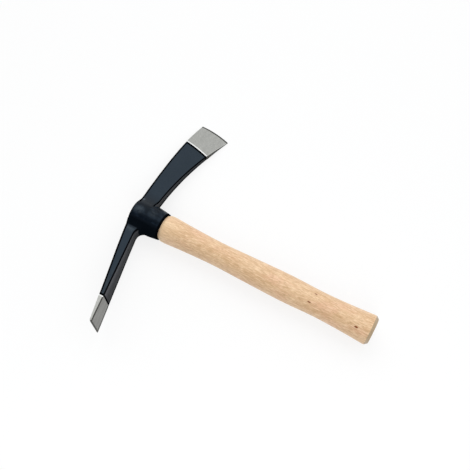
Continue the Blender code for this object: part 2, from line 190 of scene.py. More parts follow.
# Fineness of the meshes. Stations along an arm's root are closer together towards the drum.
TURNED_STEPS = 144
LIP_DIVISIONS = 5
RIM_DIVISIONS = 6
COLLAR_STEPS = 16
SHOULDER_STEPS = 8
GRIP_DIVISIONS = 170
ARM_FACE_DIVISIONS = 14
ARM_SIDE_DIVISIONS = 3
STRIP_DIVISIONS = 4
HALF_CORNER_DIVISIONS = STRIP_DIVISIONS + 3
AXE_ROOT_LENGTH = 2.0 * AXE_ROOT_FILLET
ADZE_ROOT_LENGTH = 1.2 * ADZE_ROOT_FILLET
ROOT_STATIONS = 14
ROOT_CROWDING = 1.6
ARM_STATIONS = 60
GROUND_STATIONS = 14
WEDGE_EDGE_SEGMENTS = 2

# Points beside a ridge: how far out the first plain one and a strip's end are at least, in shares
# of the rounding, and the spacing of the plain ones, as a share of the side
PAST_ROUNDING = 1.02
STRIP_PAST_ROUNDING = 1.08
PLAIN_SPACING = 0.02

# Edges that turn by more than this are shaded sharp, in degrees
HEAD_SHARP_DEGREES = 35
SHARP_DEGREES = 30

# Dark spots in the wood: place on the tool and size, all in millimetres
WOOD_SPOTS = (
    ((225.8, -7.3, 12.9), (4.4, 1.6, 1.6)),
    ((228.6, 4.0, 14.3), (4.2, 1.4, 1.4)),
    ((281.5, -9.2, 13.7), (5.0, 2.3, 2.3)),
)

# Where a spot has faded out, as a share of its size, and how far the painted light under the
# collar reaches down the handle, in millimetres
SPOT_END = 1.1
COLLAR_LIGHT_LENGTH = 26.0

# Painted highlights, lighter places in the paint's colour: place and size in millimetres, and shade
PAINTED_HIGHLIGHT_SPOTS = (
    ((7.5, 0.5, 17.8), (15.0, 12.0, 12.0), 0.050),
    ((25.0, 2.5, 17.8), (12.0, 12.0, 12.0), 0.028),
    ((3.0, 15.8, 9.6), (6.0, 5.0, 7.0), 0.110),
    ((8.0, -23.4, 9.0), (17.0, 6.5, 12.0), 0.056),
    ((26.0, -90.0, 17.0), (24.0, 64.0, 14.0), 0.034),
)

# Unevenness that forging leaves in the painted steel: waves with finer ones on them, all of
# them a little below the smooth shape
FORGING_SWELL = 0.07 * MM
FORGING_WAVELENGTH = 9.0 * MM
FORGING_DEPTH = 0.7
FORGING_END = AXE_REACH - 1.3 * AXE_GROUND_LENGTH
FINE_SWELL_SHARE = 0.4
FINE_SWELL_RATIO = 2.3
FINE_SWELL_SHIFT = Vector((7.1, 0.0, 3.7))

# Camera: where it looks in the tool's axes, and from where; angles are in degrees
CAMERA_TARGET = Vector((115.4 * MM, 30.2 * MM, 0.0))
CAMERA_AZIMUTH = 28.375
CAMERA_ELEVATION = 64.768
CAMERA_DISTANCE = 776.9 * MM
CAMERA_LENS = 52.09
SENSOR_WIDTH = 36.0
NEAREST_SEEN = 10 * MM

# Brightness of the surroundings: towards the adze's side, towards the axe's side, at the horizon.
# To the camera they are white.
DIM_SIDE = 0.14
BRIGHT_SIDE = 1.15
HORIZON_SHARE = 0.5

# Directions between which that brightness changes, across the tool and upwards
ACROSS_SPAN = (-0.45, 0.45)
UPWARD_SPAN = (0.0, 0.35)

# Lamps, aimed at the middle of the tool: place and width in metres, and watts
KEY_LAMP = ((-0.30, 0.75, 1.15), 0.9, 4.6)
FILL_LAMP = ((0.45, -0.90, 0.90), 1.0, 8.5)

# Floor: half its width in metres, and how far it is lifted to white where it is seen
FLOOR_HALF_WIDTH = 3.0
FLOOR_CLEARANCE = 0.05 * MM
FLOOR_LIFT = 0.80


def blend(start, end, share):
    return start + (end - start) * share


def even_steps(start, end, divisions):
    return [blend(start, end, step / divisions) for step in range(divisions + 1)]


# The tool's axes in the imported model

def resting_roll():
    """Roll about the handle that brings the axe's edge down to the level of the drum."""
    edge_half = 0.5 * AXE_EDGE_THICKNESS
    lift = math.asin(DRUM_BASE_RADIUS / math.hypot(AXE_REACH, edge_half))
    return lift - math.atan2(edge_half, AXE_REACH)


def tool_matrix():
    """Carries the tool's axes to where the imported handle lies."""
    low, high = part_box("handle")
    middle = 0.5 * (low + high)
    place = Vector((high.x - TOOL_LENGTH, middle.y, middle.z))
    return Matrix.Translation(place) @ Matrix.Rotation(-resting_roll(), 4, "X")


TOOL = tool_matrix()


# Mesh building

def mesh_object(name, builder):
    mesh = bpy.data.meshes.new(name)
    bmesh.ops.recalc_face_normals(builder, faces=builder.faces)
    builder.to_mesh(mesh)
    builder.free()
    piece = bpy.data.objects.new(name, mesh)
    bpy.context.scene.collection.objects.link(piece)
    return piece


def apply_modifiers(piece):
    """Swap the piece's mesh for its evaluated one and drop the modifiers."""
    depsgraph = bpy.context.evaluated_depsgraph_get()
    depsgraph.update()
    mesh = bpy.data.meshes.new_from_object(piece.evaluated_get(depsgraph))
    piece.modifiers.clear()
    piece.data = mesh


def combine(piece, others, operation):
    for other in others:
        modifier = piece.modifiers.new(other.name, "BOOLEAN")
        modifier.object = other
        modifier.operation = operation
        modifier.solver = "EXACT"
    apply_modifiers(piece)
    for other in others:
        bpy.data.objects.remove(other, do_unlink=True)


def finish_piece(piece, sharp_degrees):
    """Keep each point's place on the tool for the materials, then lay the piece in the frame."""
    mesh = piece.data
    places = mesh.attributes.new("tool_mm", "FLOAT_VECTOR", "POINT")
    for vert, place in zip(mesh.vertices, places.data):
        place.vector = vert.co / MM
    mesh.transform(TOOL)
    mesh.shade_smooth()
    mesh.set_sharp_from_angle(angle=math.radians(sharp_degrees))


def arc(centre, radius, start_degrees, end_degrees, divisions):
    points = []
    for angle in map(math.radians, even_steps(start_degrees, end_degrees, divisions)):
        points.append((centre[0] + radius * math.cos(angle), centre[1] + radius * math.sin(angle)))
    return points


def turned(name, profile):
    """Solid of revolution about X. The profile is (position along X, radius) pairs."""
    builder = bmesh.new()
    verts = [builder.verts.new((position, radius, 0.0)) for position, radius in profile]
    edges = [builder.edges.new(pair) for pair in zip(verts, verts[1:])]
    bmesh.ops.spin(
        builder,
        geom=verts + edges,
        axis=(1.0, 0.0, 0.0),
        cent=(0.0, 0.0, 0.0),
        steps=TURNED_STEPS,
        angle=2.0 * math.pi,
    )
    bmesh.ops.remove_doubles(builder, verts=builder.verts, dist=0.004 * MM)
    return mesh_object(name, builder)


def bore_radius(position):
    return blend(BORE_TOP_RADIUS, BORE_MOUTH_RADIUS, position / EYE_DEPTH)


# Head

def bezier(points, share):
    """Point of a cubic curve through points[0] and points[3]."""
    rest = 1.0 - share
    weights = (rest ** 3, 3 * share * rest ** 2, 3 * share ** 2 * rest, share ** 3)
    return sum((point * weight for point, weight in zip(points, weights)), Vector((0, 0)))


def half_corner(radius, strip, side_length):
    """Distances from a ridge's middle to the points beside it. The first ones span the strip."""
    arc_end = 0.25 * math.pi * radius
    strip = min(strip, LARGEST_STRIP_SHARE * side_length)
    step = PLAIN_SPACING * side_length
    if strip < arc_end:
        inside = [strip * i / STRIP_DIVISIONS for i in range(STRIP_DIVISIONS + 1)]
        return inside + [0.5 * (strip + arc_end), arc_end, PAST_ROUNDING * arc_end + step]
    strip = max(strip, STRIP_PAST_ROUNDING * arc_end)
    inside = [arc_end * i / (STRIP_DIVISIONS - 1) for i in range(STRIP_DIVISIONS)]
    return inside + [strip, strip + step, strip + 2 * step, strip + 3 * step]


def corner_point(centre, radius, turn, distance):
    """Point at a distance along the outline from the middle of a rounded corner."""
    arc_end = 0.25 * math.pi * radius
    along = max(-arc_end, min(arc_end, distance))
    angle = math.radians(45 - 90 * turn) - along / max(radius, 1e-9)
    beyond = distance - along
    return (
        centre[0] + radius * math.cos(angle) + beyond * math.sin(angle),
        centre[1] + radius * math.sin(angle) - beyond * math.cos(angle),
    )


def side_divisions(turn):
    """Divisions of the flat side that leads to a ring's corner of this number."""
    return ARM_SIDE_DIVISIONS if turn % 2 else ARM_FACE_DIVISIONS


def rounded_ring(near, far, half_depth, corner, strips, place):
    """Ring of a rounded rectangle, from near to far across and half_depth to each side.

    Strips holds the widths of the strips before and after each of its four corners.
    """
    corner = min(corner, LARGEST_THICKNESS_SHARE * half_depth, LARGEST_WIDTH_SHARE * (far - near))
    flat = half_depth - corner
    arc_length = 0.5 * math.pi * corner
    side_lengths = (far - near - 2.0 * corner + arc_length, 2.0 * flat + arc_length)
    left, right = near + corner, far - corner
    corner_centres = ((right, flat), (right, -flat), (left, -flat), (left, flat))
    corners = []
    for turn in range(4):
        before, after = strips[turn]
        back = half_corner(corner, before, side_lengths[turn % 2])
        onward = half_corner(corner, after, side_lengths[(turn + 1) % 2])
        distances = [-distance for distance in back[::-1]] + onward[1:]
        centre = corner_centres[turn]
        corners.append([corner_point(centre, corner, turn, distance) for distance in distances])
    ring = []
    for turn in range(4):
        start, end = corners[turn - 1][-1], corners[turn][0]
        for share in even_steps(0.0, 1.0, side_divisions(turn))[1:-1]:
            ring.append((blend(start[0], end[0], share), blend(start[1], end[1], share)))
        ring += corners[turn]
    return [place(across, height) for across, height in ring]


def ring_slots(zone):
    """Slots of the faces that follow each point of a ring. A zone holds those of its four sides."""
    slots = []
    plain = HALF_CORNER_DIVISIONS - STRIP_DIVISIONS
    for turn in range(4):
        side, before, after = zone[turn]
        next_side = zone[(turn + 1) % 4][0]
        slots += [side] * (side_divisions(turn) - 1 + plain)
        slots += [before] * STRIP_DIVISIONS + [after] * STRIP_DIVISIONS
        slots += [next_side] * (plain + 1)
    return slots


def loft(name, rings, zones):
    """Skin over rings. Each stretch between two rings has a zone, which gives its faces' slots."""
    builder = bmesh.new()
    rows = [[builder.verts.new(point) for point in ring] for ring in rings]
    count = len(rows[0])
    for low, high, zone in zip(rows, rows[1:], zones):
        slots = ring_slots(zone)
        for i in range(count):
            j = (i + 1) % count
            face = builder.faces.new((low[i], low[j], high[j], high[i]))
            face.material_index = slots[i]
    builder.faces.new(rows[0][::-1])
    builder.faces.new(rows[-1]).material_index = SHADED_NARROW_STEEL
    return mesh_object(name, builder)


def plain_zone(slot):
    """Zone with the same slot all around."""
    return ((slot, slot, slot),) * 4


def arm_zones(shares, ground_share, length, painted, line, ground):
    """Zone of each stretch of an arm, the one behind its root ring first."""
    zones = [painted]
    for start, end in zip(shares, shares[1:]):
        middle = 0.5 * (start + end)
        if middle < ground_share - PAINT_RIM / length:
            zones.append(painted)
        elif middle < ground_share:
            # The paint's rim before the grinding: a line of painted shade
            zones.append(plain_zone(SHADE_LINE_PAINT))
        elif middle < ground_share + GRINDING_STEP_LENGTH / length:
            zones.append(line)
        elif middle < 1.0 - CUTTING_STRIP / length:
            zones.append(ground)
        else:
            zones.append(plain_zone(SHADED_NARROW_STEEL))
    return zones


def arm_shares(root_share, ground_share, length):
    """Stations along an arm: close at its root, and a pair where the grinding starts."""
    shares = [root_share * (i / ROOT_STATIONS) ** ROOT_CROWDING for i in range(ROOT_STATIONS)]
    rim = ground_share - PAINT_RIM / length
    shares += even_steps(root_share, rim, ARM_STATIONS)
    step_end = ground_share + GRINDING_STEP_LENGTH / length
    strip = 1.0 - CUTTING_STRIP / length
    shares.append(ground_share)
    shares += even_steps(step_end, strip, GROUND_STATIONS)
    shares.append(1.0)
    return shares


def fillet_rise(distance, radius):
    """Height of a concave quarter round of the given radius at a distance from the wall."""
    if distance >= radius:
        return 0.0
    return radius - math.sqrt(radius ** 2 - (radius - max(distance, 0.0)) ** 2)


def root_ridge(distance):
    """Rounding of an arm's ridges, which grows where the arm runs into the drum."""
    fade = max(0.0, 1.0 - distance / ROOT_RIDGE_LENGTH)
    return blend(RIDGE_ROUNDING, ROOT_RIDGE_ROUNDING, fade ** 2)


def wrap_onto_drum(distance, height):
    """How far a point at this height draws back so that the arm's root follows the drum."""
    reach = min(abs(height), WRAP_LIMIT)
    sag = DRUM_RIM_RADIUS - math.sqrt(DRUM_RIM_RADIUS ** 2 - reach ** 2)
    fade = max(0.0, 1.0 - distance / WRAP_LENGTH)
    return sag * fade ** 2


def core_ring(root):
    """Flat ring inside the bore, from which an arm starts behind its root ring."""
    side = math.copysign(CORE_PLACE * BORE_MOUTH_RADIUS, root[0].y)
    return [Vector((point.x, side, CORE_HEIGHT * point.z)) for point in root]


def axe_guide(root_x, end, sideways, bend):
    """Four points of the curve from the drum to one end of the axe's edge."""
    root = Vector((root_x, DRUM_RIM_RADIUS))
    third = (end.y - DRUM_RIM_RADIUS) / 3
    after_root = root + Vector((bend[0] * sideways, third))
    before_end = end - Vector((bend[1] * sideways, third))
    return root, after_root, before_end, end


def axe_guides():
    """Curves that the axe's upper and lower outlines follow."""
    heel = Vector((AXE_HEEL_DROP, AXE_REACH))
    toe = Vector((AXE_HEEL_DROP + AXE_EDGE_WIDTH, AXE_REACH - AXE_EDGE_SKEW))
    flare = AXE_EDGE_WIDTH - AXE_ROOT_WIDTH
    return (
        axe_guide(-AXE_ROOT_RISE, heel, heel.x, AXE_UPPER_BEND),
        axe_guide(AXE_ROOT_WIDTH - AXE_ROOT_RISE, toe, flare, AXE_LOWER_BEND),
    )


def slant(share, ground_share):
    """Rises from 0 at both ends of an arm to 1 where the grinding starts."""
    return min(share / ground_share, (1.0 - share) / (1.0 - ground_share))


def axe_ring(guides, share, ground_share):
    """Outline of the axe arm's section at a share of its length from the drum."""
    skew = slant(share, ground_share) * AXE_GROUND_SKEW / (AXE_REACH - DRUM_RIM_RADIUS)
    high, low = bezier(guides[0], share), bezier(guides[1], share - skew)
    distance = share * (AXE_REACH - DRUM_RIM_RADIUS)
    dip = max(0.0, 1.0 - distance / AXE_ROOT_DIP_LENGTH)
    high.x += AXE_ROOT_DIP * dip ** 2
    low.x += fillet_rise(distance, AXE_CORNER_FILLET)
    ground = max(0.0, (share - ground_share) / (1.0 - ground_share))
    if ground == 0.0:
        thickness = blend(AXE_ROOT_THICKNESS, AXE_SHOULDER_THICKNESS, share / ground_share)
        ridge = root_ridge(distance)
    else:
        thickness = blend(AXE_SHOULDER_THICKNESS, AXE_EDGE_THICKNESS, ground)
        thickness -= 2.0 * GRINDING_STEP * (1.0 - ground)
        ridge = GROUND_RIDGE_ROUNDING
    half = 0.5 * thickness + fillet_rise(distance, AXE_ROOT_FILLET)
    width = (low - high).length
    crown = AXE_EDGE_CROWN * ground + AXE_GROUND_CROWN * slant(share, ground_share)

    def place(across, height):
        part = across / width
        point = high.lerp(low, part)
        bulge = crown * 4.0 * part * (1.0 - part)
        back = wrap_onto_drum(distance, height)
        return Vector((point.x, point.y + bulge - back, height))

    strips = (
        (INNER_RIDGE_STRIP, INNER_SIDE_STRIP),
        (LOWER_SIDE_STRIP, INNER_RIDGE_STRIP),
        OUTER_STRIPS,
        OUTER_STRIPS,
    )
    return rounded_ring(0.0, width, half, ridge, strips, place)


def axe_arm():
    guides = axe_guides()
    run = AXE_REACH - DRUM_RIM_RADIUS
    ground_share = 1.0 - AXE_GROUND_LENGTH / run
    shares = arm_shares(AXE_ROOT_LENGTH / run, ground_share, run)
    rings = [axe_ring(guides, share, ground_share) for share in shares]
    painted = (PAINTED_SIDE, PAINTED_INNER_SIDE, PAINTED_SIDE, PAINTED_SIDE)
    line = (
        (HIGHLIGHT_LINE, HIGHLIGHT_LINE, SHADE_LINE_STEEL),
        (SHADED_NARROW_STEEL, SHADE_LINE_STEEL, HIGHLIGHT_LINE),
        LINE_SIDE,
        LINE_SIDE,
    )
    # Strips beside the inner ridges are lit steel, painted highlight; the inner side is shaded
    # steel, painted shade
    ground = (
        (GROUND_STEEL, LIT_SIDE_STEEL, SHADED_NARROW_STEEL),
        (SHADED_NARROW_STEEL, SHADE_LINE_STEEL, LIT_SIDE_STEEL),
        GROUND_SIDE,
        GROUND_SIDE,
    )
    zones = arm_zones(shares, ground_share, run, painted, line, ground)
    return loft("axe_arm", [core_ring(rings[0]), *rings], zones)


def adze_ring(share, ground_share, bevel_share):
    """Outline of the adze arm's section at a share of its length from the drum."""
    distance = share * (ADZE_REACH - DRUM_RIM_RADIUS)
    top = blend(ADZE_ROOT_DROP, ADZE_EDGE_DROP, share)
    thickness = blend(ADZE_ROOT_THICKNESS, ADZE_EDGE_THICKNESS, share)
    under = top + thickness + fillet_rise(distance, ADZE_ROOT_FILLET)
    half_width = 0.5 * blend(ADZE_ROOT_WIDTH, ADZE_EDGE_WIDTH, share)
    half_width += fillet_rise(distance, ADZE_SIDE_FILLET)
    ridge = root_ridge(distance)
    if share > ground_share:
        under -= GRINDING_STEP
        top += GRINDING_STEP
        ridge = GROUND_RIDGE_ROUNDING
    bevel = max(0.0, (share - bevel_share) / (1.0 - bevel_share))
    top = under - blend(under - top, ADZE_BEVEL_THICKNESS, bevel)
    centre = 0.5 * (top + under)

    def place(across, height):
        back = wrap_onto_drum(distance, across)
        return Vector((centre - height, -DRUM_RIM_RADIUS - distance + back, across))

    strips = (
        OUTER_STRIPS,
        (ADZE_RIDGE_STRIP, INNER_SIDE_STRIP),
        (LOWER_SIDE_STRIP, ADZE_RIDGE_STRIP),
        OUTER_STRIPS,
    )
    return rounded_ring(-half_width, half_width, 0.5 * (under - top), ridge, strips, place)


def adze_arm():
    run = ADZE_REACH - DRUM_RIM_RADIUS
    ground_share = 1.0 - ADZE_GROUND_LENGTH / run
    bevel_share = 1.0 - ADZE_BEVEL_LENGTH / run
    shares = arm_shares(ADZE_ROOT_LENGTH / run, ground_share, run)
    shares = [share for share in shares if share < bevel_share]
    shares += [bevel_share, 1.0 - CUTTING_STRIP / run, 1.0]
    rings = [adze_ring(share, ground_share, bevel_share) for share in shares]
    painted = (PAINTED_SIDE, PAINTED_SIDE, PAINTED_INNER_SIDE, PAINTED_SIDE)
    line = (
        LINE_SIDE,
        (HIGHLIGHT_LINE, HIGHLIGHT_LINE, SHADED_NARROW_STEEL),
        (SHADED_INNER_STEEL, SHADED_NARROW_STEEL, HIGHLIGHT_LINE),
        LINE_SIDE,
    )
    # Narrow sides are lit steel as painted light, the side facing the handle shaded steel as
    # painted shade
    ground = (
        (GROUND_STEEL, GROUND_STEEL, LIT_SIDE_STEEL),
        (LIT_SIDE_STEEL, SHADED_NARROW_STEEL, SHADED_NARROW_STEEL),
        (SHADED_INNER_STEEL, SHADED_NARROW_STEEL, SHADED_NARROW_STEEL),
        (LIT_SIDE_STEEL, LIT_SIDE_STEEL, GROUND_STEEL),
    )
    zones = arm_zones(shares, ground_share, run, painted, line, ground)
    shaded_rows = 1 + sum(share < SHADED_ADZE_ROOT / run for share in shares)
    # The adze's root takes the matt black painted shade of the drum's flanks
    zones[:shaded_rows] = [plain_zone(SHADED_FLANK_PAINT)] * shaded_rows
    return loft("adze_arm", [core_ring(rings[0]), *rings], zones)


def drum_profile():
    """Outer side of the drum and its tapered collar, from the mouth up to the rim."""
    mouth_centre = (EYE_DEPTH - LIP_ROUNDING, COLLAR_MOUTH_RADIUS - LIP_ROUNDING)
    rim_centre = (RIM_ROUNDING, DRUM_RIM_RADIUS - RIM_ROUNDING)
    collar = []
    for position in even_steps(EYE_DEPTH - LIP_ROUNDING, 0.5 * DRUM_DEPTH, COLLAR_STEPS)[1:-1]:
        up_the_cone = (EYE_DEPTH - position) / (EYE_DEPTH - DRUM_DEPTH)
        straight = blend(COLLAR_MOUTH_RADIUS, DRUM_BASE_RADIUS, up_the_cone)
        drum = blend(DRUM_RIM_RADIUS, DRUM_BASE_RADIUS, min(1.0, position / DRUM_DEPTH))
        collar.append((position, soft_lower(straight, drum, COLLAR_BLEND)))
    return [
        (EYE_DEPTH, 0.0),
        *arc(mouth_centre, LIP_ROUNDING, 0, LIP_ARC_DEGREES, LIP_DIVISIONS),
        *collar,
        *arc(rim_centre, RIM_ROUNDING, 90, 180, RIM_DIVISIONS),
        (0.0, 0.0),
    ]


def soft_lower(first, second, radius):
    """Smaller of two values, with the corner between them rounded."""
    gap = max(radius - abs(first - second), 0.0)
    return min(first, second) - gap * gap * 0.25 / radius


def drum_slot(face):
    """Material slot of a face of the drum and its collar."""
    # The drum's rim and the collar's lip: a line of painted shade
    if face.center.x < RIM_ROUNDING or face.center.x > EYE_DEPTH - LIP_STRIP:
        return SHADE_LINE_PAINT
    # Flanks that lean far towards either arm: matt black painted shade
    lean = face.normal.y
    return SHADED_FLANK_PAINT if lean < -ADZE_FLANK_SLOPE or lean > AXE_FLANK_SLOPE else EYE_PAINT


def forge_unevenness(mesh):
    """Slight waves of the painted surface, which stop before the ground ends."""
    for vert in mesh.vertices:
        if abs(vert.co.y) > FORGING_END:
            continue
        place = vert.co / FORGING_WAVELENGTH
        fine_swell = noise.noise(FINE_SWELL_RATIO * place + FINE_SWELL_SHIFT)
        swell = noise.noise(place) + FINE_SWELL_SHARE * fine_swell
        vert.co -= vert.normal * FORGING_SWELL * (FORGING_DEPTH + swell)


def bore_solid():
    """The eye's tapered hole, longer than the eye at both ends."""
    start, end = -EYE_DEPTH, 2.0 * EYE_DEPTH
    profile = [(end, 0.0), (end, bore_radius(end)), (start, bore_radius(start)), (start, 0.0)]
    return turned("bore", profile)


def head_materials():
    """Materials in the order of the head's slots."""
    return (
        paint_material(),
        eye_paint_material(),
        shaded_inner_paint_material(),
        shaded_flank_paint_material(),
        shade_line_paint_material(),
        ground_steel_material("ground_steel", 1.0),
        # Lit copy of the ground steel, painted light
        ground_steel_material("lit_side_steel", 1.32),
        # Shaded copy of the ground steel, painted shade
        ground_steel_material("shaded_inner_steel", 0.56),
        # Dark steel as painted shade
        shaded_steel_material("shaded_narrow_steel", 0.062),
        shaded_steel_material("shade_line_steel", 0.030),
        highlight_line_material(),
    )


def build_head():
    head = turned("forged_head", drum_profile())
    bore = bore_solid()
    arms = [axe_arm(), adze_arm()]
    materials = head_materials()
    for piece in (head, bore, *arms):
        for material in materials:
            piece.data.materials.append(material)
    for face in head.data.polygons:
        face.material_index = drum_slot(face)
    combine(head, arms, "UNION")
    combine(head, [bore], "DIFFERENCE")
    forge_unevenness(head.data)
    finish_piece(head, HEAD_SHARP_DEGREES)
    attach(head, "root")
    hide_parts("head")


# Handle and wedges

def smooth_profile(stations, divisions):
    """Smooth curve through stations, as (position, radius) pairs at even steps."""
    points = [Vector(station) for station in stations]
    padded = [2 * points[0] - points[1], *points, 2 * points[-1] - points[-2]]
    curve = []
    for position in even_steps(points[0].x, points[-1].x, divisions):
        span = max(i for i in range(len(points) - 1) if points[i].x <= position + 1e-9)
        before, low, high, after = padded[span:span + 4]
        width = high.x - low.x
        share = (position - low.x) / width
        low_slope = (high.y - before.y) / (high.x - before.x) * width
        high_slope = (after.y - low.y) / (after.x - low.x) * width
        radius = (
            (2 * share ** 3 - 3 * share ** 2 + 1) * low.y
            + (share ** 3 - 2 * share ** 2 + share) * low_slope
            + (3 * share ** 2 - 2 * share ** 3) * high.y
            + (share ** 3 - share ** 2) * high_slope
        )
        curve.append((position, radius))
    return curve


def grip_profile(grip_start, shoulder_radius):
    """From the shoulder to the butt. Stations are (share of the grip, radius) pairs."""
    stations = (
        (0.000, shoulder_radius),
        (0.020, shoulder_radius),
        (0.075, blend(shoulder_radius, WAIST_RADIUS, 0.36)),
        (0.160, blend(shoulder_radius, WAIST_RADIUS, 0.74)),
        (0.265, WAIST_RADIUS),
        (0.415, blend(WAIST_RADIUS, SWELL_RADIUS, 0.50)),
        (0.600, SWELL_RADIUS),
        (0.760, HOLLOW_RADIUS),
        (0.880, blend(HOLLOW_RADIUS, BUTT_RADIUS, 0.33)),
        (1.000, BUTT_RADIUS),
    )
    grip_length = TOOL_LENGTH - BUTT_CHAMFER_LENGTH - grip_start
    return [
        (grip_start + share * grip_length, radius)
        for share, radius in smooth_profile(stations, GRIP_DIVISIONS)
    ]


def shoulder_profile(foot, top):
    """Rounded step between the tang and the grip, without its two ends."""
    shoulder = []
    for share in even_steps(0.0, 1.0, SHOULDER_STEPS)[1:-1]:
        rise = math.sin(0.5 * math.pi * share) ** SHOULDER_EXPONENT
        shoulder.append((blend(foot[0], top[0], share), blend(foot[1], top[1], rise)))
    return shoulder


def butt_profile(butt_side):
    """Flat end and chamfer of the butt, with both edges of the chamfer rounded."""
    rounding = BUTT_EDGE_ROUNDING
    flat_radius = BUTT_RADIUS - BUTT_CHAMFER
    return [
        (TOOL_LENGTH, 0.0),
        (TOOL_LENGTH, flat_radius - rounding),
        (TOOL_LENGTH - 0.12 * rounding, flat_radius - 0.30 * rounding),
        (TOOL_LENGTH - 0.50 * rounding, flat_radius + 0.30 * rounding),
        (butt_side + 0.50 * rounding, BUTT_RADIUS - 0.70 * rounding),
        (butt_side - 0.10 * rounding, BUTT_RADIUS - 0.20 * rounding),
    ]


def handle_profile():
    """From the butt end up to the top of the tang."""
    foot = (EYE_DEPTH + FIT_GAP, BORE_MOUTH_RADIUS - FIT_GAP)
    shoulder = (EYE_DEPTH + SHOULDER_LENGTH, foot[1] + SHOULDER_STEP)
    butt_side = TOOL_LENGTH - BUTT_CHAMFER_LENGTH
    grip_end = butt_side - 0.8 * BUTT_EDGE_ROUNDING
    tang_end = TANG_RECESS + TANG_CHAMFER
    tang_radius = bore_radius(tang_end) - FIT_GAP
    return [
        *butt_profile(butt_side),
        *[point for point in grip_profile(*shoulder)[::-1] if point[0] < grip_end],
        *shoulder_profile(foot, shoulder)[::-1],
        foot,
        (tang_end, tang_radius),
        (TANG_RECESS, tang_radius - TANG_CHAMFER),
        (TANG_RECESS, 0.0),
    ]


def wedge_solid(name, depth, widths, thicknesses, grow=0.0, over=0.0):
    """Wedge with its broad sides facing +-Z, driven down X from the top of the tang.

    Widths and thicknesses are those at its top and at its tip. Grow is added on every side but
    the top, and over is how far it stands out of the tang.
    """
    builder = bmesh.new()
    bmesh.ops.create_cube(builder, size=1.0)
    slope = (thicknesses[0] - thicknesses[1]) / depth
    for vert in builder.verts:
        at_tip = vert.co.x > 0.0
        position = depth + grow if at_tip else -over
        thickness = thicknesses[0] - slope * position + 2.0 * grow
        width = widths[at_tip] + 2.0 * grow
        side = math.copysign(0.5 * width, vert.co.y)
        vert.co = Vector((TANG_RECESS + position, side, math.copysign(0.5 * thickness, vert.co.z)))
    return mesh_object(name, builder)


def steel_wedge_solid(name, side, grow=0.0, over=0.0):
    """Wedge that is turned across the wooden one, in the half of the tang on this side."""
    widths = (STEEL_WEDGE_WIDTH, STEEL_WEDGE_WIDTH)
    wedge = wedge_solid(name, STEEL_WEDGE_DEPTH, widths, STEEL_WEDGE_THICKNESSES, grow, over)
    middle = 0.5 * WEDGE_THICKNESSES[0] + STEEL_WEDGE_INSET + 0.5 * STEEL_WEDGE_WIDTH
    seat = Matrix.Translation((0.0, 0.0, side * middle))
    wedge.data.transform(seat @ Matrix.Rotation(math.pi / 2, 4, "X"))
    return wedge


def round_edges(wedge):
    modifier = wedge.modifiers.new("bevel", "BEVEL")
    modifier.width = WEDGE_EDGE_ROUNDING
    modifier.segments = WEDGE_EDGE_SEGMENTS
    apply_modifiers(wedge)


def build_handle():
    handle = turned("beech_handle", handle_profile())
    widths = (KERF_WIDTH, KERF_WIDTH)
    kerf = wedge_solid("kerf", KERF_DEPTH, widths, WEDGE_THICKNESSES, FIT_GAP, CUTTER_EXCESS)
    slots = [steel_wedge_solid("slot", side, FIT_GAP, CUTTER_EXCESS) for side in (1.0, -1.0)]
    combine(handle, [kerf, *slots], "DIFFERENCE")
    handle.data.materials.clear()
    handle.data.materials.append(beech_material())
    finish_piece(handle, SHARP_DEGREES)
    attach(handle, "root")
    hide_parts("handle")


def build_wooden_wedge():
    ends = (0.0, WEDGE_DEPTH)
    widths = [2.0 * (bore_radius(end) - FIT_GAP - WEDGE_RIM_MARGIN) for end in ends]
    wedge = wedge_solid("hardwood_wedge", WEDGE_DEPTH, widths, WEDGE_THICKNESSES)
    round_edges(wedge)
    wedge.data.materials.append(wedge_wood_material())
    finish_piece(wedge, SHARP_DEGREES)
    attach(wedge, "root")
    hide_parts("wooden_wedge")


def build_steel_wedges():
    material = wedge_steel_material()
    for node, side in (("steel_wedge_upper", 1.0), ("steel_wedge_lower", -1.0)):
        wedge = steel_wedge_solid(node + "_rolled", side)
        round_edges(wedge)
        wedge.data.materials.append(material)
        finish_piece(wedge, SHARP_DEGREES)
        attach(wedge, "root")
        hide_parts(node)


# Node trees

class Nodes:
    """A node tree that is put together by calls. Values are sockets, numbers or colours."""

    def __init__(self, tree):
        self.tree = tree

    def feed(self, socket, value):
        if isinstance(value, bpy.types.NodeSocket):
            self.tree.links.new(value, socket)
        else:
            socket.default_value = value

    def add(self, kind, inputs=None, **settings):
        node = self.tree.nodes.new(kind)
        for key, value in settings.items():
            setattr(node, key, value)
        for key, value in (inputs or {}).items():
            self.feed(node.inputs[key], value)
        return node

    def math(self, operation, first, second=0.0):
        return self.add("ShaderNodeMath", {0: first, 1: second}, operation=operation).outputs[0]

    def ramp(self, value, low, high, start=0.0, end=1.0):
        """Straight line from start to end while value goes from low to high."""
        inputs = {"Value": value, "From Min": low, "From Max": high, "To Min": start, "To Max": end}
        return self.add("ShaderNodeMapRange", inputs).outputs["Result"]

    def mix(self, share, first, second):
        inputs = {"Factor": share, "A": first, "B": second}
        return self.add("ShaderNodeMix", inputs, data_type="RGBA").outputs["Result"]


